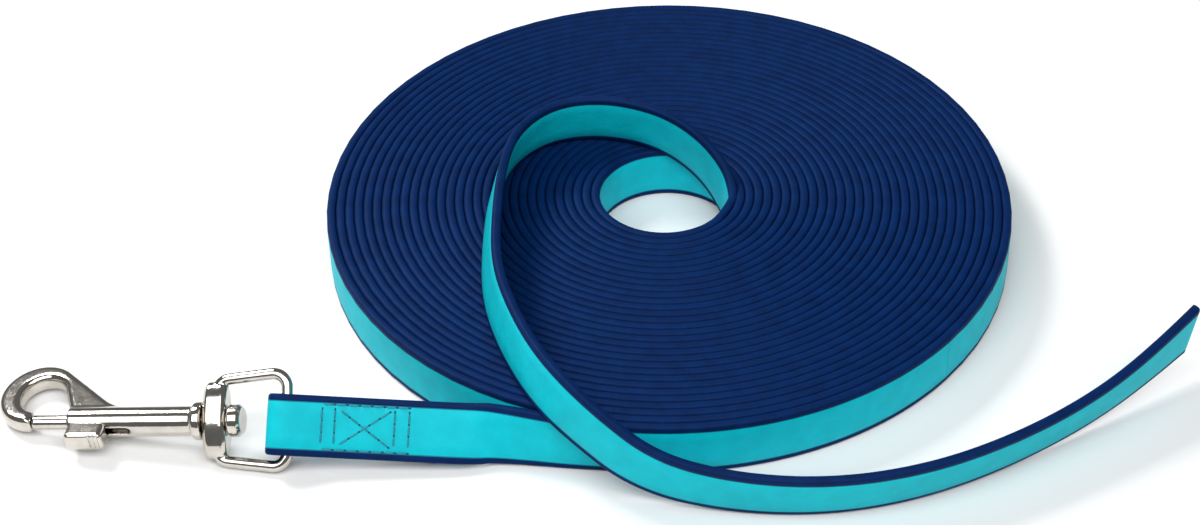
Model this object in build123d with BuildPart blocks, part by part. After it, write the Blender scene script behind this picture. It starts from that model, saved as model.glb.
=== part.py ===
"""Training leash, lying as it is kept: a flat coated strap wound on edge into a spiral coil on a table, one
end sewn round the eye of a swivel bolt snap, the other end running over the coil to its cut tip.

Millimetres, +Z up, z = 0 on the table. The origin is under the middle of the snap and the sewn end, +X runs
from the hook to the coil, and +Y across the table, away from the side that the tail comes round."""

import os
from copy import copy
from math import atan2, cos, pi, radians, sin, tan

from build123d import *

os.makedirs("parts", exist_ok=True)

# ---------------------------------------------------------------- driving dimensions
STRAP_W = 20.0  # width of the strap, which stands on edge in the coil
STRAP_T = 3.2  # its thickness; its edges are half round
BAND_W = 15.7  # bright band on each face
BAND_T = 0.4
CORE_W = 15.0  # woven core inside the coat
CORE_T = 1.2

PITCH = 3.26  # from one turn of the coil to the next
TURNS = 30 + 80 / 360
COIL_R = 123.88  # outer face of the outermost turn
LEAD_ANGLE = -100.0  # where the lead becomes the outermost turn, seen from the coil's middle
TAIL_ANGLE = -20.0  # where the innermost turn ends and the tail begins to climb
HOLE_R = COIL_R - STRAP_T - TURNS * PITCH  # inner face of the innermost turn
HOLE_STEP = 3.8  # the hole narrows by this over its last turn, so that the tail fits inside it
COIL_X, COIL_Y = 147.51, 102.31  # middle of the coil
BEND_SHARE = 0.45  # a bend of a free stretch takes this much of the shorter run beside it

# The middle of the eye's bar, from the middle of the coil, and how the hardware lies
BAR_X, BAR_Y, BAR_Z = -122.9, -113.2, 13.9
SNAP_HEADING = 5.5  # the snap's axis turns this far towards +Y on its way to the hook
SNAP_FALL = 6.0  # and falls this far, so that the hook rests on the table
EYE_LEAN = 43.0  # the eye's bar and the sewn strap lean back from upright

FOLD_FALL = 4.0  # the sewn end falls this far on its way to the coil
FOLD_SLIP = 1.6  # the strap has slipped this far down the bar
FOLD_LENGTH = 50.0  # from the bar to the end of the sewn part
FOLD_BACK = 48.5  # from the bar to the cut end of the strap, at the back
GUIDE_UP = 40.0  # the free stretches keep their width pointing at a line this far above their route
UPRIGHT_SHARE = 2.0  # at the lead's bend the line is upright by this much to one part of the sewn end's lean
FOLD_R = 5.0  # middle of the strap as it goes round the bar
NECK_R = 12.0  # and as it closes again beyond the bar
LEAF_GAP = 0.1  # between the two sewn leaves
LEAF_Y = (STRAP_T + LEAF_GAP) / 2  # from the plane between them to the middle of each

STITCH_L, STITCH_W, STITCH_H = 3.1, 0.8, 0.35
STITCH_PITCH = 4.0
BOX_NEAR, BOX_FAR = 11.4, 39.7  # the ends of the box stitch, from the bar
INNER_NEAR, INNER_FAR = 15.6, 35.0  # second rows inside them, which the cross joins
BOX_HALF = 7.3
ROW_GAP = 1.6  # the rows stop this far short of the corners

# Places along the snap's axis, from the middle of the eye's bar; the hook lies on the negative side
BUTTON_END, BUTTON_FACE = -15.0, -19.3
BOSS_NEAR, BOSS_FAR = -19.9, -27.8
COLLAR_NEAR, COLLAR_FAR = -28.1, -31.4
BARREL_END = -74.0
RIVET_TIP = -36.0
BOLT_TIP, BOLT_BACK = -87.1, -54.4
NOSE_FACE = -87.4
SLOT_NEAR, SLOT_FAR = -52.4, -69.5
KNOB_NEAR, KNOB_FAR = -60.5, -73.4
SHANK_X = -67.0

BARREL_R = 5.0
COLLAR_R = 6.35
COLLAR_CHAMFER = 0.5
BORE_R = 2.45
BOLT_R = 2.4
TIP_CHAMFER = 0.4
PIN_R, PIN_L = 1.3, 5.0  # the bolt's tail, which the spring sits on
RIVET_R = 2.46  # pressed into the barrel's bore
BUTTON_R = 5.35
BUTTON_CHAMFER, BUTTON_BACK_CHAMFER = 1.1, 0.4
BOSS_BORE_R = 2.52
CUT_PAST = 1.0  # a bore is cut this far past both of its ends
SLOT_W = 2.4
SHANK_R = 1.05
SHANK_IN = 0.6  # the shank's end is this far from the bolt's axis
SHANK_L = 7.0
SPRING_R, SPRING_WIRE_R, SPRING_PITCH = 1.85, 0.3, 2.8
SPRING_END = 0.4  # from what the spring bears on to the middle of its wire

HOOK_X, HOOK_Y = -88.3, 11.5  # the middle of the hook's oval outline
HOOK_HALF_L, HOOK_HALF_W = 13.3, 14.0  # half its size along the snap and across it
OPENING_X, OPENING_Y, OPENING_R = -86.5, 10.9, 7.4
OPENING_STRETCH = 1.6  # the opening is longer across the snap than along it by this
HOOK_T = 6.4
HOOK_ROUND = 2.0  # all round it but for the edges of the opening
WEB_FALL = 40.4  # the web's straight back falls at this angle towards the barrel
WEB_FOOT_Y = 4.9
WEB_LOW_Y = -0.5  # the web's lower edge, inside the barrel
WEB_X = -74.6  # the web's face towards the gate, at its foot
WEB_TAIL = 8.0
WEB_FILLET = 14.0
GATE_RISE = 10.0  # where that face runs into the opening, in degrees round it

KNOB_SEAT, KNOB_TOP = 3.2, 10.4  # from the snap's axis
KNOB_W = 6.8
KNOB_CORNER_R = 1.6
KNOB_ROUND = 1.3
KNOB_GAP = 0.2  # between the knob and the barrel
GROOVES = (-64.6, -63.3, -62.0)
GROOVE_W, GROOVE_DEPTH = 0.6, 0.5

EYE_HALF = 15.6  # from the middle of the bar to the middle of the eye's side
EYE_HALF_BOSS = 13.0  # and the same at the boss
EYE_CORNER_R = 4.6
WIRE_R = 1.95
BOSS_HALF, BOSS_T = 12.6, 10.6
BOSS_CHAMFER = 1.4
WIRE_ROOT = 4.0  # the wire's ends are this deep in the boss

# The tail's route: the middle of the strap, from the middle of the coil. It climbs out of the hole along its
# wall, bends over the coil's top, comes down off the front edge and lies along the table.
TAIL_ROUTE = [
    (22.35, -7.93, 10.1),
    (24.6, 1.0, 10.1),
    (18.6, 15.4, 18.4),
    (4.6, 22.9, 29.4),
    (-12.0, 30.6, 31.4),
    (-30.0, 34.0, 30.4),
    (-46.5, 28.2, 30.4),
    (-57.5, 13.0, 30.4),
    (-63.0, -8.0, 30.4),
    (-65.0, -34.0, 30.4),
    (-62.8, -62.0, 30.4),
    (-55.0, -87.0, 30.4),
    (-43.5, -111.5, 30.8),
    (-28.5, -128.3, 27.7),
    (-7.0, -136.5, 13.5),
    (21.0, -142.8, 10.1),
    (52.0, -144.4, 10.1),
    (82.0, -137.5, 10.1),
    (110.0, -124.0, 10.3),
    (136.0, -107.0, 11.6),
    (158.0, -89.5, 15.6),
    (174.0, -74.0, 20.0),
]
# The lead's one bend, between the sewn end and the coil's outermost turn
LEAD_BEND = (-55.2, -115.0, 9.9)


# ---------------------------------------------------------------- frames
def across(x):
    """The plane across the X axis, at a place along it."""
    return Plane((x, 0, 0), x_dir=(0, 1, 0), z_dir=(1, 0, 0))


def beside(y):
    """The plane that faces -Y, at a distance from the X axis; its own y is Z."""
    return Plane((0, y, 0), x_dir=(1, 0, 0), z_dir=(0, -1, 0))


coil_middle = Vector(COIL_X, COIL_Y, 0)
bar_middle = coil_middle + Vector(BAR_X, BAR_Y, BAR_Z)

# The snap's frame: +x along its axis from the hook to the eye's bar, +y to the side of the hook's loop
to_bar = Vector(
    cos(radians(SNAP_FALL)) * cos(radians(SNAP_HEADING)),
    -cos(radians(SNAP_FALL)) * sin(radians(SNAP_HEADING)),
    sin(radians(SNAP_FALL)),
)
snap_side = Vector(0, 0, 1).cross(to_bar).normalized()
snap = Plane(bar_middle, x_dir=to_bar, z_dir=to_bar.cross(snap_side))

# The eye's frame: the same x, +y along its bar, +z out of its window on the upper side
bar_run = snap.z_dir.rotate(Axis((0, 0, 0), to_bar), -EYE_LEAN)
eye = Plane(bar_middle, x_dir=to_bar, z_dir=to_bar.cross(bar_run))

# The sewn end's frame: +x along the strap away from the bar, +y to its back, +z across its width
fold_run = Vector(cos(radians(FOLD_FALL)), 0, -sin(radians(FOLD_FALL)))
fold_width = Vector(sin(radians(FOLD_FALL)), 0, cos(radians(FOLD_FALL)))
fold_width = fold_width.rotate(Axis((0, 0, 0), fold_run), -EYE_LEAN)
fold = Plane(bar_middle - fold_width * FOLD_SLIP, x_dir=fold_run, z_dir=fold_width)


# ---------------------------------------------------------------- the coil
def spiral_outline(radius, step, start):
    """Two half circles, the second smaller, so that one turn loses step millimetres of radius."""
    out = Vector(cos(radians(start)), sin(radians(start)), 0)
    side = Vector(-out.Y, out.X, 0)
    first = coil_middle + out * radius
    opposite = coil_middle - out * radius
    second_middle = coil_middle - out * (step / 2)
    second_r = radius - step / 2
    last = second_middle + out * second_r
    ThreePointArc(first, coil_middle + side * radius, opposite)
    ThreePointArc(opposite, second_middle - side * second_r, last)
    Line(last, first)


with BuildPart() as strap_coil:
    with BuildSketch():
        with BuildLine():
            spiral_outline(COIL_R, PITCH, LEAD_ANGLE)
        make_face()
    extrude(amount=STRAP_W)
    with BuildSketch():
        with BuildLine():
            spiral_outline(HOLE_R + HOLE_STEP, HOLE_STEP, TAIL_ANGLE)
        make_face()
    extrude(amount=STRAP_W, mode=Mode.SUBTRACT)


# ---------------------------------------------------------------- the strap's free stretches
def bend_radii(points):
    """The radius of each corner of a route, from the shorter of its two runs."""
    radii = []
    for before, corner, after in zip(points, points[1:], points[2:]):
        turn = (corner - before).get_angle(after - corner)
        run = min((corner - before).length, (after - corner).length)
        radii.append(BEND_SHARE * run / tan(radians(turn / 2)))
    return radii


tail_points = [coil_middle + Vector(p) for p in TAIL_ROUTE]
tail_radii = bend_radii(tail_points)
tail_out = tail_points[1] - tail_points[0]

with BuildPart() as strap_tail:
    with BuildLine() as tail_path:
        FilletPolyline(*tail_points, radius=tail_radii)
    tail_level = Vector(tail_out.Y, -tail_out.X, 0)
    with BuildSketch(Plane(tail_points[0], x_dir=tail_level, z_dir=tail_out)):
        SlotOverall(STRAP_W, STRAP_T, rotation=90)
    upright = tail_path.wires()[0].moved(Location((0, 0, GUIDE_UP)))
    sweep(path=tail_path.wires()[0], binormal=upright)

lead_angle = radians(LEAD_ANGLE)
lead_end = coil_middle + Vector(
    (COIL_R - STRAP_T / 2) * cos(lead_angle), (COIL_R - STRAP_T / 2) * sin(lead_angle), STRAP_W / 2
)
lead_start = fold.from_local_coords(Vector(FOLD_LENGTH, -LEAF_Y, 0))
lead_points = [lead_start, coil_middle + Vector(LEAD_BEND), lead_end]
lead_radii = bend_radii(lead_points)

with BuildPart() as strap_lead:
    with BuildLine() as lead_path:
        FilletPolyline(*lead_points, radius=lead_radii)
    with BuildSketch(Plane(lead_start, x_dir=fold.z_dir, z_dir=fold.x_dir)):
        SlotOverall(STRAP_W, STRAP_T)
    with BuildLine(mode=Mode.PRIVATE) as lead_edge:
        FilletPolyline(
            lead_start + fold.z_dir * GUIDE_UP,
            lead_points[1] + (fold.z_dir + Vector(0, 0, UPRIGHT_SHARE)).normalized() * GUIDE_UP,
            lead_end + Vector(0, 0, GUIDE_UP),
            radius=lead_radii,
        )
    sweep(path=lead_path.wires()[0], binormal=lead_edge.wires()[0])

section_area = (STRAP_W - STRAP_T) * STRAP_T + pi * STRAP_T**2 / 4
for name, route, radii, solid in (
    ("tail", tail_path, tail_radii, strap_tail),
    ("lead", lead_path, lead_radii, strap_lead),
):
    length = route.wires()[0].length
    print(name, "radii", [round(r) for r in radii], "length", round(length, 1))
    print(name, "volume over section times length", round(solid.part.volume / section_area / length, 4))


# ---------------------------------------------------------------- the sewn end
neck = Vector(((FOLD_R + NECK_R) ** 2 - (LEAF_Y + NECK_R) ** 2) ** 0.5, LEAF_Y + NECK_R)
to_loop = -neck.normalized()
to_neck = (to_loop + Vector(0, -1)).normalized()


def fold_line(out):
    """In along the back, round the bar and out along the front, a distance outside the strap's middle."""
    meet = neck + to_loop * (NECK_R - out)
    bend = neck + to_neck * (NECK_R - out)
    flat_y = LEAF_Y + out
    Line((FOLD_BACK, flat_y), (neck.X, flat_y))
    ThreePointArc((neck.X, flat_y), (bend.X, bend.Y), (meet.X, meet.Y))
    ThreePointArc((meet.X, meet.Y), (-FOLD_R - out, 0), (meet.X, -meet.Y))
    ThreePointArc((meet.X, -meet.Y), (bend.X, -bend.Y), (neck.X, -flat_y))
    Line((neck.X, -flat_y), (FOLD_LENGTH, -flat_y))


def layer(inside, outside, width):
    """A flat layer of the strap, between two distances from its middle."""
    with BuildPart() as sheet:
        with BuildSketch(fold):
            with BuildLine():
                fold_line(inside)
                fold_line(outside)
                Line((FOLD_BACK, LEAF_Y + inside), (FOLD_BACK, LEAF_Y + outside))
                Line((FOLD_LENGTH, -LEAF_Y - inside), (FOLD_LENGTH, -LEAF_Y - outside))
            make_face()
        extrude(amount=width / 2, both=True)
    return sheet.part


fold_webbing_core = layer(-CORE_T / 2, CORE_T / 2, CORE_W)
fold_face_outer = layer(STRAP_T / 2 - BAND_T, STRAP_T / 2, BAND_W)
fold_face_inner = layer(-STRAP_T / 2, BAND_T - STRAP_T / 2, BAND_W)

with BuildLine(fold) as fold_path:
    fold_line(0)

with BuildPart() as fold_jacket:
    section_at = fold.from_local_coords(Vector(FOLD_BACK, LEAF_Y, 0))
    with BuildSketch(Plane(section_at, x_dir=fold.z_dir, z_dir=fold.x_dir)):
        SlotOverall(STRAP_W, STRAP_T)
    sweep(path=fold_path.wires()[0])
    for inlay in (fold_webbing_core, fold_face_outer, fold_face_inner):
        add(inlay, mode=Mode.SUBTRACT)


# ---------------------------------------------------------------- the box stitch
def row(x0, y0, x1, y1):
    """The places of the stitches along a straight row."""
    start = Vector(x0, y0)
    run = Vector(x1, y1) - start
    count = round(run.length / STITCH_PITCH)
    turn = Vector(1, 0, 0).get_signed_angle(run, Vector(0, 0, 1))
    return [Location(start + run * ((i + 0.5) / count), (0, 0, turn)) for i in range(count)]


stitches = row(BOX_NEAR, BOX_HALF, BOX_FAR, BOX_HALF) + row(BOX_NEAR, -BOX_HALF, BOX_FAR, -BOX_HALF)
for end_row in (BOX_NEAR, INNER_NEAR, INNER_FAR, BOX_FAR):
    stitches += row(end_row, ROW_GAP - BOX_HALF, end_row, BOX_HALF - ROW_GAP)
cross_near, cross_far, cross_half = INNER_NEAR + ROW_GAP, INNER_FAR - ROW_GAP, BOX_HALF - ROW_GAP
stitches += row(cross_near, -cross_half, cross_far, cross_half)
second_cross = row(cross_near, cross_half, cross_far, -cross_half)


def threads(face):
    """One side's stitches, each a flat-bottomed bead of thread on the face."""
    with BuildPart() as stitching:
        with BuildSketch(face):
            with Locations(*stitches, *second_cross):
                SlotOverall(STITCH_L, STITCH_W)
        extrude(amount=STITCH_H)
    return stitching.part


face_y = LEAF_Y + STRAP_T / 2
front = fold.from_local_coords(Vector(0, -face_y, 0))
back = fold.from_local_coords(Vector(0, face_y, 0))
needle_thread = threads(Plane(front, x_dir=fold.x_dir, z_dir=-fold.y_dir))
bobbin_thread = threads(Plane(back, x_dir=fold.x_dir, z_dir=fold.y_dir))

# ---------------------------------------------------------------- the snap
# Its pieces are drawn about the X axis, in the snap's own frame, which places them when they are done
hook_middle = Vector(HOOK_X, HOOK_Y)
web_turn = atan2(HOOK_HALF_W, HOOK_HALF_L * tan(radians(WEB_FALL)))
back_start = hook_middle + Vector(HOOK_HALF_L * cos(web_turn), HOOK_HALF_W * sin(web_turn))
back_foot = Vector(back_start.X + (back_start.Y - WEB_FOOT_Y) / tan(radians(WEB_FALL)), WEB_FOOT_Y)
gate_rise = radians(GATE_RISE)
gate_top = Vector(
    OPENING_X + OPENING_R * cos(gate_rise), OPENING_Y + OPENING_STRETCH / 2 + OPENING_R * sin(gate_rise)
)


def from_opening(edge):
    """How far an edge's centre is from the middle of the hook's opening, across the loop's own plane."""
    middle = edge.center()
    return (Vector(middle.X, middle.Y) - Vector(OPENING_X, OPENING_Y)).length


with BuildPart() as hook_loop:
    with BuildSketch():
        with Locations(hook_middle):
            Ellipse(HOOK_HALF_L, HOOK_HALF_W)
        with BuildSketch() as web:
            with BuildLine():
                Polyline(
                    (HOOK_X, HOOK_Y),
                    (back_start.X, back_start.Y),
                    (back_foot.X, back_foot.Y),
                    (back_foot.X + WEB_TAIL, WEB_FOOT_Y),
                    (back_foot.X + WEB_TAIL, WEB_LOW_Y),
                    (HOOK_X, WEB_LOW_Y),
                    close=True,
                )
            make_face()
            foot = web.vertices().sort_by_distance((back_foot.X, back_foot.Y))[0]
            fillet(foot, WEB_FILLET)
        with Locations((OPENING_X, OPENING_Y)):
            SlotCenterToCenter(OPENING_STRETCH, 2 * OPENING_R, rotation=90, mode=Mode.SUBTRACT)
        with BuildLine():
            Polyline(
                (NOSE_FACE, -HOOK_HALF_W),
                (NOSE_FACE, OPENING_Y),
                (gate_top.X, gate_top.Y),
                (WEB_X, BOLT_R),
                (WEB_X, -HOOK_HALF_W),
                close=True,
            )
        make_face(mode=Mode.SUBTRACT)
    extrude(amount=HOOK_T / 2, both=True)
    rims = hook_loop.edges().group_by(Axis.Z)
    rims = rims[0] + rims[-1]
    fillet(rims.filter_by(lambda e: from_opening(e) > OPENING_R), HOOK_ROUND)

with BuildPart() as snap_body:
    with BuildSketch(across(BARREL_END)):
        Circle(BARREL_R)
    extrude(amount=COLLAR_FAR - BARREL_END)
    with BuildSketch(across(COLLAR_FAR)):
        Circle(COLLAR_R)
    extrude(amount=COLLAR_NEAR - COLLAR_FAR)
    collar_rims = snap_body.edges().filter_by(lambda e: abs(e.length - 2 * pi * COLLAR_R) < 0.01)
    chamfer(collar_rims, COLLAR_CHAMFER)
    add(hook_loop.part)
    with BuildSketch(across(BARREL_END - CUT_PAST)):
        Circle(BORE_R)
    extrude(amount=COLLAR_NEAR - BARREL_END + 2 * CUT_PAST, mode=Mode.SUBTRACT)
    with BuildSketch(beside(0)):
        with Locations(((SLOT_NEAR + SLOT_FAR) / 2, 0)):
            SlotOverall(SLOT_NEAR - SLOT_FAR, SLOT_W)
    extrude(amount=2 * BARREL_R, mode=Mode.SUBTRACT)

with BuildPart() as bolt:
    with BuildSketch(across(BOLT_TIP)):
        Circle(BOLT_R)
    extrude(amount=BOLT_BACK - BOLT_TIP)
    chamfer(bolt.edges().sort_by(Axis.X)[0], TIP_CHAMFER)
    with BuildSketch(across(BOLT_BACK)):
        Circle(PIN_R)
    extrude(amount=PIN_L)
    with BuildSketch(beside(-SHANK_IN)):
        with Locations((SHANK_X, 0)):
            Circle(SHANK_R)
    extrude(amount=BOLT_R, mode=Mode.SUBTRACT)

with BuildPart() as thumb_knob:
    with BuildSketch(beside(-KNOB_SEAT)):
        with Locations(((KNOB_NEAR + KNOB_FAR) / 2, 0)):
            RectangleRounded(KNOB_NEAR - KNOB_FAR, KNOB_W, KNOB_CORNER_R)
    extrude(amount=KNOB_TOP - KNOB_SEAT)
    fillet(thumb_knob.faces().sort_by(Axis.Y)[0].edges(), KNOB_ROUND)
    with BuildSketch(beside(-KNOB_TOP)):
        with Locations(*[(x, 0) for x in GROOVES]):
            Rectangle(GROOVE_W, 2 * KNOB_W)
    extrude(amount=-GROOVE_DEPTH, mode=Mode.SUBTRACT)
    with BuildSketch(across(KNOB_FAR - CUT_PAST)):
        Circle(BARREL_R + KNOB_GAP)
    extrude(amount=KNOB_NEAR - KNOB_FAR + 2 * CUT_PAST, mode=Mode.SUBTRACT)
    with BuildSketch(beside(-SHANK_IN)):
        with Locations((SHANK_X, 0)):
            Circle(SHANK_R)
    extrude(amount=SHANK_L)

with BuildPart() as bolt_spring:
    with BuildLine() as spring_path:
        Helix(
            SPRING_PITCH,
            RIVET_TIP - BOLT_BACK - 2 * SPRING_END,
            SPRING_R,
            center=(BOLT_BACK + SPRING_END, 0, 0),
            direction=(1, 0, 0),
        )
    with BuildSketch(Plane(spring_path.line @ 0, z_dir=spring_path.line % 0)):
        Circle(SPRING_WIRE_R)
    sweep(is_frenet=True)

with BuildPart() as swivel_rivet:
    with BuildSketch(across(RIVET_TIP)):
        Circle(RIVET_R)
    extrude(amount=BUTTON_FACE - RIVET_TIP)
    with BuildSketch(across(BUTTON_FACE)):
        Circle(BUTTON_R)
    extrude(amount=BUTTON_END - BUTTON_FACE)
    button_rims = swivel_rivet.edges().filter_by(lambda e: abs(e.length - 2 * pi * BUTTON_R) < 0.01)
    chamfer(button_rims.sort_by(Axis.X)[-1], BUTTON_CHAMFER)
    chamfer(button_rims.sort_by(Axis.X)[0], BUTTON_BACK_CHAMFER)

# The eye is drawn with its bar along Y and its window facing Z
boss_x = (BOSS_NEAR + BOSS_FAR) / 2
with BuildPart() as swivel_eye:
    with BuildSketch(across(BOSS_FAR)):
        Ellipse(BOSS_HALF, BOSS_T / 2)
    extrude(amount=BOSS_NEAR - BOSS_FAR)
    boss_ends = swivel_eye.faces().filter_by(Axis.X)
    chamfer(boss_ends.edges(), BOSS_CHAMFER)
    with BuildLine() as eye_path:
        FilletPolyline(
            (boss_x, BOSS_HALF - WIRE_ROOT),
            (boss_x, EYE_HALF_BOSS),
            (0, EYE_HALF),
            (0, -EYE_HALF),
            (boss_x, -EYE_HALF_BOSS),
            (boss_x, WIRE_ROOT - BOSS_HALF),
            radius=EYE_CORNER_R,
        )
    with BuildSketch(Plane(eye_path.line @ 0, z_dir=eye_path.line % 0)):
        Circle(WIRE_R)
    sweep()
    with BuildSketch(across(BOSS_FAR - CUT_PAST)):
        Circle(BOSS_BORE_R)
    extrude(amount=BOSS_NEAR - BOSS_FAR + 2 * CUT_PAST, mode=Mode.SUBTRACT)

# ---------------------------------------------------------------- hand in
lying = {
    "strap_coil": strap_coil.part,
    "strap_lead": strap_lead.part,
    "strap_tail": strap_tail.part,
    "fold_jacket": fold_jacket.part,
    "fold_webbing_core": fold_webbing_core,
    "fold_face_outer": fold_face_outer,
    "fold_face_inner": fold_face_inner,
    "box_stitch_needle_thread": needle_thread,
    "box_stitch_bobbin_thread": bobbin_thread,
    "snap_body": snap.location * snap_body.part,
    "bolt": snap.location * bolt.part,
    "thumb_knob": snap.location * thumb_knob.part,
    "bolt_spring": snap.location * bolt_spring.part,
    "swivel_rivet": snap.location * swivel_rivet.part,
    "swivel_eye": eye.location * swivel_eye.part,
}
for name, piece in lying.items():
    piece.label = name
    export_step(piece, f"parts/{name}.step")
    print(name, "lowest", round(piece.bounding_box().min.Z, 3))

hardware = Compound(children=[copy(lying[name]) for name in lying if not name.startswith("strap")])
print("middle of the snap and sewn end", hardware.bounding_box().center())
print("bar at", bar_middle, "snap axis", snap.x_dir, "bar runs", eye.y_dir)
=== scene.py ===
"""Training leash: a flat coated strap wound on edge into a spiral coil, with a swivel bolt snap sewn
into one end. The camera and the strap come first, then the sewn end, the stitching, the snap and the
studio.

Metres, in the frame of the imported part. The strap is one piece on the real leash, so it is one smooth
line here too. Its mesh is cut into the lead with the first part of the outer turn, the rest of the
wound strap, and the tail."""

from math import cos, pi, radians, sin

import bmesh
import bpy
import numpy as np
from mathutils import Matrix, Vector


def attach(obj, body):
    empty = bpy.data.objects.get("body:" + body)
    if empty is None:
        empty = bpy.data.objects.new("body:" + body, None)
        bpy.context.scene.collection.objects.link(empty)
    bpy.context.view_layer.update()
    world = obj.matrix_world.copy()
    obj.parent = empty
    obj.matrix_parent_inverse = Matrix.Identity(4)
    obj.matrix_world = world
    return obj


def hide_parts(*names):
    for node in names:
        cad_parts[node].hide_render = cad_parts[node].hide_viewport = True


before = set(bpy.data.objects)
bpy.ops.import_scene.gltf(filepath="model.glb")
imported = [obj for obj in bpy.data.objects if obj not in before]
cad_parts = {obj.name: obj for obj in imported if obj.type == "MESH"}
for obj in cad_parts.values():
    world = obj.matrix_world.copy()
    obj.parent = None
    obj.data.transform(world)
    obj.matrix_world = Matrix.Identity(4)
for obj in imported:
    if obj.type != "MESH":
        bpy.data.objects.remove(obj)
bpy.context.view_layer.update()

# ---------------------------------------------------------------- the strap's facts
STRAP_W = 0.020
STRAP_T = 0.0032
BAND_W = 0.0157  # the bright band on each face
PITCH = 0.00326  # from one turn of the coil to the next
COIL_R = 0.12388  # the outer face of the outermost turn
TURNS = 30 + 80 / 360
LEAD_ANGLE = -100.0  # where the lead becomes the outermost turn
LEAD_SHARE = 60.0  # the lead's mesh runs on into that turn, this many degrees
POINTS_A_TURN = 24
STEPS = 12  # samples of the strap's line from one point of its route to the next
WOUND_STEPS = 4  # every fourth of them is enough where the strap is wound
COIL_MIDDLE = Vector((0.14751, 0.10231, 0))

# The tail's route out of the coil's hole to its tip, from the coil's middle. The fourth value of each
# point is how far the strap leans from upright, in degrees, positive to the right of the route's way.
TAIL_ROUTE = [
    (0.02235, -0.00793, 0.0101, 0),
    (0.0246, 0.0010, 0.0101, 0),
    (0.0182, 0.0148, 0.0183, -4),
    (0.0036, 0.0216, 0.0293, -6),
    (-0.0130, 0.0288, 0.0311, -7),
    (-0.0298, 0.0318, 0.0304, -8),
    (-0.0446, 0.0266, 0.0303, -11),
    (-0.0556, 0.0122, 0.0301, -14),
    (-0.0595, -0.0080, 0.0301, -15),
    (-0.0602, -0.0340, 0.0301, -15),
    (-0.0589, -0.0618, 0.0301, -14),
    (-0.0523, -0.0860, 0.0301, -14),
    (-0.0417, -0.1104, 0.0305, -12),
    (-0.0279, -0.1275, 0.0276, -6),
    (-0.0070, -0.1365, 0.0135, 4),
    (0.0210, -0.1428, 0.0101, 12),
    (0.0520, -0.1444, 0.0101, 16),
    (0.0820, -0.1375, 0.0101, 18),
    (0.1100, -0.1240, 0.0103, 18),
    (0.1360, -0.1070, 0.0114, 16),
    (0.1580, -0.0895, 0.0150, 11),
    (0.1740, -0.0740, 0.0187, 6),
]
LEAD_BEND = (-0.0552, -0.1150, 0.0099, -20)  # the lead's one bend, given like the tail's points
LEAD_STRAIGHT = 0.010  # the lead leaves the sewn end straight, for this far

# The sewn end: the bar of the snap's eye, and the strap's frame there
BAR = COIL_MIDDLE + Vector((-0.1229, -0.1132, 0.0139))
EYE_LEAN = -43.0  # the bar and the sewn strap lean back, away from the front of the table
FOLD_FALL = 4.0  # the sewn end falls this far, in degrees, on its way to the coil
FOLD_SLIP = 0.0016  # the strap has slipped this far down the bar
FOLD_LENGTH = 0.050  # from the bar to the end of the sewn part
LEAF_Y = 0.00165  # from the plane between the two sewn leaves to the middle of each

# The strap's middle round the bar: how far along the sewn end, and how far to its back. It comes in
# along the back leaf from its cut end, bends round the bar and goes out along the front leaf.
FOLD_ROUTE = [
    (0.0485, LEAF_Y),
    (0.0250, LEAF_Y),
    (0.0140, LEAF_Y),
    (0.0080, 0.0026),
    (0.0010, 0.0042),
    (-0.0050, 0.0042),
    (-0.0050, -0.0042),
    (0.0010, -0.0042),
    (0.0080, -0.0026),
    (0.0140, -LEAF_Y),
    (0.0250, -LEAF_Y),
    (FOLD_LENGTH, -LEAF_Y),
]

# The box stitch
STITCH_L, STITCH_W, STITCH_H = 0.0031, 0.0008, 0.0004
STITCH_SUNK = 0.0001  # a stitch's middle lies this far inside the face
STITCH_PITCH = 0.0040
HOLE_L, HOLE_W, HOLE_H = 0.0012, 0.00088, 0.00014  # a small dark bead, the painted shade of a needle hole
BOX_NEAR, BOX_FAR = 0.0114, 0.0397  # the ends of the box, along the strap from the bar
INNER_NEAR, INNER_FAR = 0.0156, 0.0350  # second rows inside them, which the cross joins
BOX_HALF = 0.0073  # from the strap's middle to the long rows
ROW_GAP = 0.0016  # the rows stop this far short of the corners

TIP_SLANT = 0.0026  # the tip's cut is this much further along at the strap's top edge than in its middle
TIP_REACH = 0.020  # and the mesh takes up the slant over this much of the strap

# ---------------------------------------------------------------- camera
# It stands at the front of the table and looks back and down, a little to the left
CAMERA_AT = COIL_MIDDLE + Vector((0, -0.68211, 0.54524))
HEADING, DOWN, ROLL = radians(-2.021), radians(39.271), radians(-1.3485)

camera = bpy.data.objects.new("camera", bpy.data.cameras.new("camera"))
camera.data.lens = 72
camera.data.sensor_width = 36
camera.data.clip_end = 20
bpy.context.collection.objects.link(camera)
look = Vector((sin(HEADING) * cos(DOWN), cos(HEADING) * cos(DOWN), -sin(DOWN)))
right = look.cross(Vector((0, 0, 1))).normalized()
right = Matrix.Rotation(-ROLL, 3, look) @ right
upward = right.cross(look)
facing = Matrix((right, upward, -look)).transposed().to_4x4()
camera.matrix_world = Matrix.Translation(CAMERA_AT) @ facing
bpy.context.scene.camera = camera


# ---------------------------------------------------------------- helpers
def smooth_line(points):
    """The points of the smooth line that has these as its control points."""
    curve = bpy.data.curves.new("line", "CURVE")
    curve.dimensions = "3D"
    curve.resolution_u = STEPS
    spline = curve.splines.new("NURBS")
    spline.points.add(len(points) - 1)
    for spot, point in zip(spline.points, points):
        spot.co = (*point, 1)
    spline.order_u = 3
    spline.use_endpoint_u = True
    holder = bpy.data.objects.new("line", curve)
    mesh = bpy.data.meshes.new_from_object(holder)
    line = np.array([v.co for v in mesh.vertices])
    bpy.data.meshes.remove(mesh)
    bpy.data.objects.remove(holder)
    bpy.data.curves.remove(curve)
    return line


def unit(vectors):
    return vectors / np.linalg.norm(vectors, axis=-1, keepdims=True)


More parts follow.
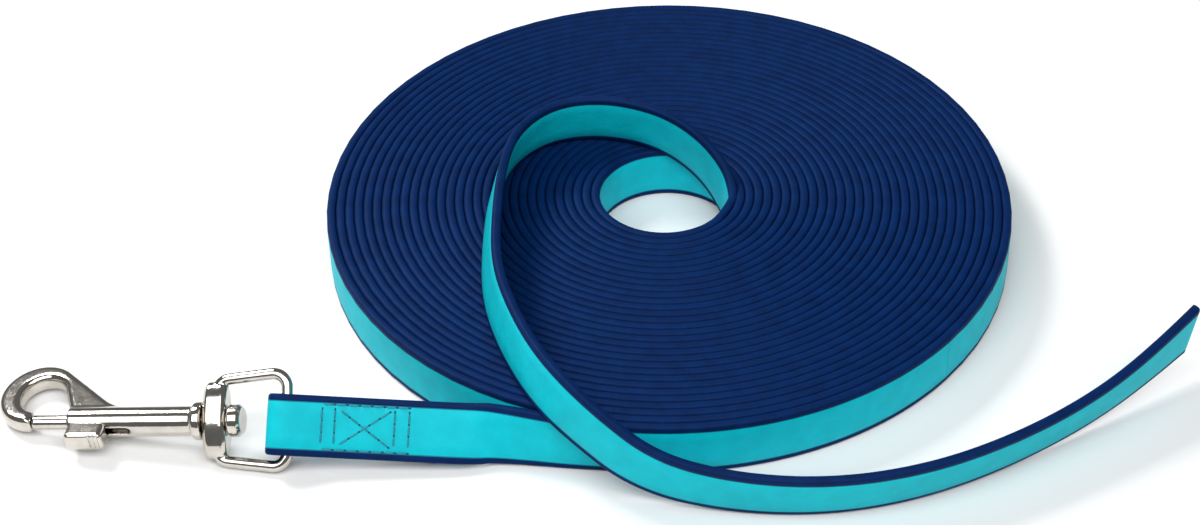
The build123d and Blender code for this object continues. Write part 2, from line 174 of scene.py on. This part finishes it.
def new_object(name, vertices, faces, materials, kinds):
    """A smooth-shaded mesh object; kinds gives each face's place in the list of materials."""
    mesh = bpy.data.meshes.new(name)
    mesh.from_pydata([tuple(v) for v in vertices], [], faces)
    for finish in materials:
        mesh.materials.append(finish)
    mesh.polygons.foreach_set("material_index", kinds)
    mesh.polygons.foreach_set("use_smooth", [True] * len(faces))
    mesh.validate()
    mesh.update()
    piece = bpy.data.objects.new(name, mesh)
    bpy.context.collection.objects.link(piece)
    return piece


def stand_in(piece, body, slot, *nodes):
    """The piece rides on a body and replaces CAD nodes, which it hides; the slot is not used."""
    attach(piece, body)
    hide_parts(*nodes)


def tube_faces(rings, around):
    """The faces of a closed tube: quads between its rings, ring after ring, then its two ends."""
    faces = []
    for start in range(0, (rings - 1) * around, around):
        for j in range(around):
            k = (j + 1) % around
            faces.append((start + j, start + k, start + around + k, start + around + j))
    faces.append(tuple(range(around - 1, -1, -1)))
    faces.append(tuple(range((rings - 1) * around, rings * around)))
    return faces


# ---------------------------------------------------------------- materials
RAMP_FROM, RAMP_TO = 0.3, 0.7  # the part of the noise's range that a colour ramp spreads over


def material(name, color, roughness, metallic=0.0):
    """A node material with its uniform values set on the shader itself, and its tree and shader."""
    made = bpy.data.materials.new(name)
    made.use_nodes = True
    shader = made.node_tree.nodes["Principled BSDF"]
    shader.inputs["Base Color"].default_value = (*color, 1)
    shader.inputs["Roughness"].default_value = roughness
    shader.inputs["Metallic"].default_value = metallic
    return made, made.node_tree, shader


def node(tree, kind, **inputs):
    """A new node with some of its inputs set, an underscore standing for a space in their names."""
    made = tree.nodes.new(kind)
    for name, value in inputs.items():
        made.inputs[name.replace("_", " ")].default_value = value
    return made


def noise(tree, scale, detail=4.0, stretch=(1, 1, 1)):
    """Noise over the object's own coordinates; at a scale of 1000 its grains are about 1 mm."""
    spot = tree.nodes.new("ShaderNodeTexCoord")
    mapping = node(tree, "ShaderNodeMapping", Scale=stretch)
    grain = node(tree, "ShaderNodeTexNoise", Scale=scale, Detail=detail)
    tree.links.new(spot.outputs["Object"], mapping.inputs["Vector"])
    tree.links.new(mapping.outputs["Vector"], grain.inputs["Vector"])
    return grain.outputs["Fac"]


def vary_color(tree, shader, factor, dark, light):
    """The base colour runs from dark to light with a factor."""
    ramp = tree.nodes.new("ShaderNodeValToRGB")
    first, last = ramp.color_ramp.elements
    first.position, first.color = RAMP_FROM, (*dark, 1)
    last.position, last.color = RAMP_TO, (*light, 1)
    tree.links.new(factor, ramp.inputs["Fac"])
    tree.links.new(ramp.outputs["Color"], shader.inputs["Base Color"])


def vary_roughness(tree, shader, factor, low, high):
    """The roughness runs from low to high with a factor."""
    spread = node(tree, "ShaderNodeMapRange", To_Min=low, To_Max=high)
    tree.links.new(factor, spread.inputs["Value"])
    tree.links.new(spread.outputs["Result"], shader.inputs["Roughness"])


def bump(tree, shader, factor, distance, strength=1.0, under=None):
    """A bump of that height in metres, over another bump if one is given."""
    made = node(tree, "ShaderNodeBump", Strength=strength, Distance=distance)
    tree.links.new(factor, made.inputs["Height"])
    if under is not None:
        tree.links.new(under.outputs["Normal"], made.inputs["Normal"])
    tree.links.new(made.outputs["Normal"], shader.inputs["Normal"])
    return made


def coat_material(name, dark, light, roughness, gloss):
    """The strap's smooth plastic coat: a fine matt grain with faint larger clouds."""
    made, tree, shader = material(name, light, roughness)
    shader.inputs["Specular IOR Level"].default_value = gloss
    vary_color(tree, shader, noise(tree, 160, 5), dark, light)
    grain = noise(tree, 2600, 3)
    vary_roughness(tree, shader, grain, roughness - 0.06, roughness + 0.08)
    dents = bump(tree, shader, noise(tree, 420, 2), 0.00012)
    bump(tree, shader, grain, 0.00005, 0.8, dents)
    return made


band_coat = coat_material("band_coat", (0.0, 0.46, 0.55), (0.0, 0.53, 0.625), 0.55, 0.15)
edge_coat = coat_material("edge_coat", (0.0, 0.0125, 0.068), (0.0, 0.0175, 0.095), 0.55, 0.08)
seam_coat = coat_material("seam_coat", (0.0, 0.17, 0.26), (0.004, 0.23, 0.33), 0.6, 0.15)
STRAP_MATERIALS = (band_coat, edge_coat, seam_coat)
BAND, EDGE, SEAM = 0, 1, 2


# ---------------------------------------------------------------- the strap's section
SEAM_W = 0.00034  # the groove between the band and the edge
SEAM_DEPTH = 0.00009
ROUND_STEPS = 10  # faces round each edge
EDGE_POWER = 0.7  # 1 would be half round; under that the edge is flatter, with tighter corners
BAND_STEPS = 4  # faces across each band


def strap_section():
    """Points (across the width, out of the face) once round the strap, and what each next face is."""
    half_t, flat = STRAP_T / 2, STRAP_W / 2 - STRAP_T / 2
    band, seam = BAND_W / 2 - SEAM_W, BAND_W / 2
    spots, kinds = [], []
    for side in (1, -1):
        for i in range(BAND_STEPS):
            spots.append((side * (-band + 2 * band * i / BAND_STEPS), side * half_t))
            kinds.append(BAND)
        spots += [
            (side * band, side * half_t),
            (side * (band + SEAM_W / 2), side * (half_t - SEAM_DEPTH)),
            (side * seam, side * half_t),
        ]
        kinds += [SEAM, SEAM, EDGE]
        for i in range(ROUND_STEPS + 1):
            turn = pi * i / ROUND_STEPS
            out, rise = sin(turn) ** EDGE_POWER, abs(cos(turn)) ** EDGE_POWER
            rise = rise if cos(turn) > 0 else -rise
            spots.append((side * (flat + half_t * out), side * half_t * rise))
            kinds.append(EDGE)
        spots += [
            (side * seam, -side * half_t),
            (side * (band + SEAM_W / 2), -side * (half_t - SEAM_DEPTH)),
        ]
        kinds += [SEAM, SEAM]
    return np.array(spots), kinds


SECTION, SECTION_KINDS = strap_section()


def strap_mesh(name, line, widths, slant=0.0):
    """The strap along a line, its width pointing along widths; its last end may be cut at a slant."""
    along = unit(np.gradient(line, axis=0))
    widths = unit(widths - (widths * along).sum(1)[:, None] * along)
    outward = np.cross(along, widths)
    rings = line[:, None] + SECTION[None, :, :1] * widths[:, None]
    rings = rings + SECTION[None, :, 1:] * outward[:, None]
    if slant:
        walked = np.concatenate([[0], np.cumsum(np.linalg.norm(np.diff(line, axis=0), axis=1))])
        near_end = np.clip(1 - (walked[-1] - walked) / TIP_REACH, 0, 1)
        shift = slant * near_end[:, None] * SECTION[None, :, 0] / (STRAP_W / 2)
        rings = rings + shift[:, :, None] * along[:, None]
    around = len(SECTION)
    last_ring = (len(line) - 1) * around
    faces = tube_faces(len(line), around)
    kinds = SECTION_KINDS * (len(line) - 1) + [EDGE, EDGE]
    strap = new_object(name, rings.reshape(-1, 3), faces, STRAP_MATERIALS, kinds)
    for edge in strap.data.edges:
        edge.use_edge_sharp = max(edge.vertices) < around or min(edge.vertices) >= last_ring
    return strap


# ---------------------------------------------------------------- the strap's line
def ways_at(points):
    """The way that a route runs at each of its points."""
    runs = [b - a for a, b in zip(points, points[1:])]
    halfway = [a.normalized() + b.normalized() for a, b in zip(runs, runs[1:])]
    return [runs[0], *halfway, runs[-1]]


def leaned(point, along, lean):
    """Where the strap's upper edge is: straight up from a point of its middle line, then leaned."""
    along = Vector(along).normalized()
    up = (Vector((0, 0, 1)) - along * along.z).normalized()
    return Vector(point) + (Matrix.Rotation(radians(lean), 3, along) @ up) * (STRAP_W / 2)


fold_along = Vector((cos(radians(FOLD_FALL)), 0, -sin(radians(FOLD_FALL))))
fold_width = Vector((sin(radians(FOLD_FALL)), 0, cos(radians(FOLD_FALL))))
fold_width = Matrix.Rotation(radians(EYE_LEAN), 3, fold_along) @ fold_width
fold_back = fold_width.cross(fold_along)
fold_middle = BAR - fold_width * FOLD_SLIP


def in_fold(x, y, z=0.0):
    """A point of the sewn end: x along the strap from the bar, y to its back, z across its width."""
    return fold_middle + fold_along * x + fold_back * y + fold_width * z


def in_coil(turned, stand_out=1.0):
    """A point of the wound strap's middle, turned degrees round the coil from where the lead joins it."""
    radius = (COIL_R - STRAP_T / 2 - PITCH * turned / 360) * stand_out
    angle = radians(LEAD_ANGLE + turned)
    return COIL_MIDDLE + Vector((radius * cos(angle), radius * sin(angle), STRAP_W / 2))


lead_start = in_fold(FOLD_LENGTH, -LEAF_Y)
points = [lead_start, in_fold(FOLD_LENGTH + LEAD_STRAIGHT, -LEAF_Y)]
points.append(COIL_MIDDLE + Vector(LEAD_BEND[:3]))
leans = [EYE_LEAN, EYE_LEAN, LEAD_BEND[3]]

# The coil's turns, from the outside in. Their points stand out a little, because a smooth line passes
# inside its control points.
step = 360 / POINTS_A_TURN
for i in range(round(TURNS * POINTS_A_TURN)):
    points.append(in_coil(step * i, 1 / cos(radians(step / 2))))
    leans.append(0)
tail_first = len(points)
points += [COIL_MIDDLE + Vector(spot[:3]) for spot in TAIL_ROUTE]
leans += [spot[3] for spot in TAIL_ROUTE]

upper = [leaned(*spot) for spot in zip(points, ways_at(points), leans)]
upper[:2] = [point + fold_width * (STRAP_W / 2) for point in points[:2]]

strap_line = smooth_line(points)
strap_widths = smooth_line(upper) - strap_line


def nearest(point):
    """The place on the strap's line that is nearest to a point."""
    return int(np.linalg.norm(strap_line - np.array(point), axis=1).argmin())


lead_to = nearest(in_coil(LEAD_SHARE))
tail_from = nearest(points[tail_first])

lead_line = strap_line[: lead_to + 1]
lead = strap_mesh("strap_lead_in", lead_line, strap_widths[: lead_to + 1])
stand_in(lead, "strap", "strap_face", "strap_lead")

tail_line = strap_line[tail_from:]
tail = strap_mesh("strap_loose_tail", tail_line, strap_widths[tail_from:], TIP_SLANT)
stand_in(tail, "strap", "strap_face", "strap_tail")

wound_samples = [*range(lead_to, tail_from, WOUND_STEPS), tail_from]
wound_line = strap_line[wound_samples]
wound = strap_mesh("strap_wound", wound_line, strap_widths[wound_samples])
stand_in(wound, "strap", "strap_face", "strap_coil")

# ---------------------------------------------------------------- the sewn end
sewn_line = smooth_line([in_fold(*spot) for spot in FOLD_ROUTE])
sewn = strap_mesh("sewn_end", sewn_line, np.array([fold_width] * len(sewn_line)))
sewn_nodes = ("fold_jacket", "fold_face_outer", "fold_face_inner", "fold_webbing_core")
stand_in(sewn, "strap", "strap_face", *sewn_nodes)


# ---------------------------------------------------------------- the box stitch
thread, thread_tree, thread_shader = material("thread", (0.0, 0.25, 0.33), 0.6)
twist = noise(thread_tree, 2200, 3, (1, 1, 3))
vary_color(thread_tree, thread_shader, twist, (0.0, 0.14, 0.22), (0.0, 0.32, 0.40))
bump(thread_tree, thread_shader, twist, 0.00008)
# The needle holes' darkness is painted shade: a dark material with a little random grain
hole_shade, hole_shade_tree, hole_shade_shader = material("painted_hole_shade", (0.0, 0.05, 0.09), 0.8)
hole_shade_grain = noise(hole_shade_tree, 1800)
vary_color(hole_shade_tree, hole_shade_shader, hole_shade_grain, (0.0, 0.03, 0.06), (0.0, 0.09, 0.14))

BEAD_ROUND = 8  # points round a bead of thread
BEAD_HALF = ((0.0, 1.06), (0.55, 1.0), (0.86, 0.78), (1.0, 0.35))  # how thick it is, middle to end
BEAD_RINGS = [(-place, size) for place, size in BEAD_HALF[:0:-1]] + list(BEAD_HALF)


def row(x0, z0, x1, z1):
    """The places and the direction of the stitches along a straight row."""
    run = np.array((x1 - x0, z1 - z0))
    count = round(float(np.linalg.norm(run)) / STITCH_PITCH)
    return [((x0, z0) + run * ((i + 0.5) / count), unit(run)) for i in range(count)]


def stitch_rows():
    """The two long rows, the four end rows and the cross."""
    rows = [row(BOX_NEAR, z, BOX_FAR, z) for z in (BOX_HALF, -BOX_HALF)]
    reach = BOX_HALF - ROW_GAP
    for x in (BOX_NEAR, INNER_NEAR, INNER_FAR, BOX_FAR):
        rows.append(row(x, -reach, x, reach))
    near, far = INNER_NEAR + ROW_GAP, INNER_FAR - ROW_GAP
    return rows + [row(near, -reach, far, reach), row(near, reach, far, -reach)]


def bead(middle, along, across, out, length, width, height):
    """A closed bead of thread: the points of rings along it that close in at its ends."""
    spots = []
    for place, size in BEAD_RINGS:
        for j in range(BEAD_ROUND):
            turn = 2 * pi * j / BEAD_ROUND
            spots.append(
                middle
                + along * (place * length / 2)
                + across * (cos(turn) * size * width / 2)
                + out * (sin(turn) * size * height)
            )
    return spots


def leaf_face(side):
    """The face of one leaf of the sewn end: places along it, and how far back it is there."""
    line = smooth_line([(x, y, 0) for x, y in FOLD_ROUTE])
    leaf = line[line[:, 1] * side > 0]
    leaf = leaf[leaf[:, 0] > 0]
    leaf = leaf[leaf[:, 0].argsort()]
    return leaf[:, 0], leaf[:, 1] + side * STRAP_T / 2


def stitching(name, side, slot, node_name):
    """The stitches of one face, -1 the front and 1 the back, with a dark bead of painted shade at each
    needle hole.
    """
    places, heights = leaf_face(side)
    bead_faces = tube_faces(len(BEAD_RINGS), BEAD_ROUND)
    spots, faces, kinds = [], [], []

    def on_face(spot):
        along, across = map(float, spot)
        return in_fold(along, float(np.interp(along, places, heights)), across)

    def put(middle, run, length, width, height, kind):
        before, after = on_face(middle - run * length / 2), on_face(middle + run * length / 2)
        along = (after - before).normalized()
        out = (fold_back * side - along * (fold_back * side).dot(along)).normalized()
        centre = (before + after) / 2 - out * STITCH_SUNK
        faces.extend(tuple(i + len(spots) for i in face) for face in bead_faces)
        spots.extend(bead(centre, along, out.cross(along), out, length, width, height))
        kinds.extend([kind] * len(bead_faces))

    for stitches in stitch_rows():
        for middle, run in stitches:
            put(middle, run, STITCH_L, STITCH_W, STITCH_H, 0)
            # the needle hole halfway to the next stitch, a dark bead of painted shade
            put(middle + run * (STITCH_PITCH / 2), run, HOLE_L, HOLE_W, HOLE_H, 1)
    piece = new_object(name, spots, faces, (thread, hole_shade), kinds)
    stand_in(piece, "strap", slot, node_name)


stitching("stitches_front", -1, "needle_thread", "box_stitch_needle_thread")
stitching("stitches_back", 1, "bobbin_thread", "box_stitch_bobbin_thread")


# ---------------------------------------------------------------- the snap
WELD = 1e-6  # the CAD mesh's points nearer together than this are one


def nickel_material():
    """Bright nickel plate: faint waves left by the polishing, and a little haze."""
    made, tree, shader = material("bright_nickel", (0.62, 0.585, 0.53), 0.1, 1.0)
    wear = noise(tree, 300, 6)
    vary_color(tree, shader, wear, (0.56, 0.525, 0.475), (0.64, 0.61, 0.56))
    vary_roughness(tree, shader, noise(tree, 900, 4), 0.06, 0.15)
    bump(tree, shader, noise(tree, 170, 3), 0.00007)
    return made


nickel = nickel_material()


def cast(node_name, body, voxel, rounds):
    """The piece as it leaves its die and the polishing drum: the CAD shape with soft corners."""
    mesh = bpy.data.meshes.new(node_name + "_cast")
    form = bmesh.new()
    form.from_mesh(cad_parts[node_name].data)
    bmesh.ops.remove_doubles(form, verts=form.verts, dist=WELD)
    form.to_mesh(mesh)
    form.free()
    rough = bpy.data.objects.new(node_name + "_form", mesh)
    bpy.context.collection.objects.link(rough)
    remesh = rough.modifiers.new("remesh", "REMESH")
    remesh.mode = "VOXEL"
    remesh.voxel_size = voxel
    remesh.use_smooth_shade = True
    soften = rough.modifiers.new("soften", "SMOOTH")
    soften.factor = 0.5
    soften.iterations = rounds
    view = bpy.context.evaluated_depsgraph_get()
    made = bpy.data.meshes.new_from_object(rough.evaluated_get(view))
    bpy.data.objects.remove(rough)
    bpy.data.meshes.remove(mesh)
    made.materials.clear()
    made.materials.append(nickel)
    made.polygons.foreach_set("use_smooth", [True] * len(made.polygons))
    piece = bpy.data.objects.new(node_name + "_cast", made)
    bpy.context.collection.objects.link(piece)
    stand_in(piece, body, "bright_nickel", node_name)


cast("snap_body", "snap", 0.00028, 16)
cast("swivel_eye", "eye", 0.00028, 12)
cast("thumb_knob", "gate", 0.00020, 6)
cast("swivel_rivet", "snap", 0.00020, 3)
cast("bolt", "gate", 0.00020, 2)

spring_steel, spring_tree, spring_shader = material("spring_steel", (0.5, 0.5, 0.5), 0.25, 1.0)
spring_grain = noise(spring_tree, 500)
vary_color(spring_tree, spring_shader, spring_grain, (0.42, 0.42, 0.43), (0.55, 0.55, 0.55))
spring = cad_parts["bolt_spring"].data
spring.materials.clear()
spring.materials.append(spring_steel)

# ---------------------------------------------------------------- the studio
MIDDLE = Vector((0.12, 0.06, 0))  # what the lights face
FLOOR_SIZE = 6.0
FLOOR_ALBEDO = 0.90


def softbox(name, at, size, power):
    """A rectangular light that faces the middle of the leash."""
    light = bpy.data.lights.new(name, "AREA")
    light.shape = "RECTANGLE"
    light.size, light.size_y = size
    light.energy = power
    made = bpy.data.objects.new(name, light)
    made.location = MIDDLE + Vector(at)
    made.rotation_euler = (MIDDLE - made.location).to_track_quat("-Z", "Y").to_euler()
    bpy.context.collection.objects.link(made)


# The key comes from behind on the left, and a large softbox hangs over the table, towards the front
softbox("key", (-0.85, 0.75, 1.15), (0.5, 0.5), 18)
softbox("overhead", (0.0, -0.68, 1.12), (2.0, 1.0), 20.5)

world = bpy.data.worlds.new("studio")
world.use_nodes = True
world.node_tree.nodes["Background"].inputs["Color"].default_value = (1, 1, 1, 1)
world.node_tree.nodes["Background"].inputs["Strength"].default_value = 0.16
bpy.context.scene.world = world
bpy.context.scene.view_settings.view_transform = "Standard"

bpy.ops.mesh.primitive_plane_add(size=FLOOR_SIZE, location=(0.12, 0.1, 0))
floor = bpy.context.object
floor.name = "floor"
floor_paint, floor_tree, floor_shader = material("floor_paint", (FLOOR_ALBEDO,) * 3, 0.6)
vary_roughness(floor_tree, floor_shader, noise(floor_tree, 6, 2), 0.55, 0.65)
floor.data.materials.append(floor_paint)
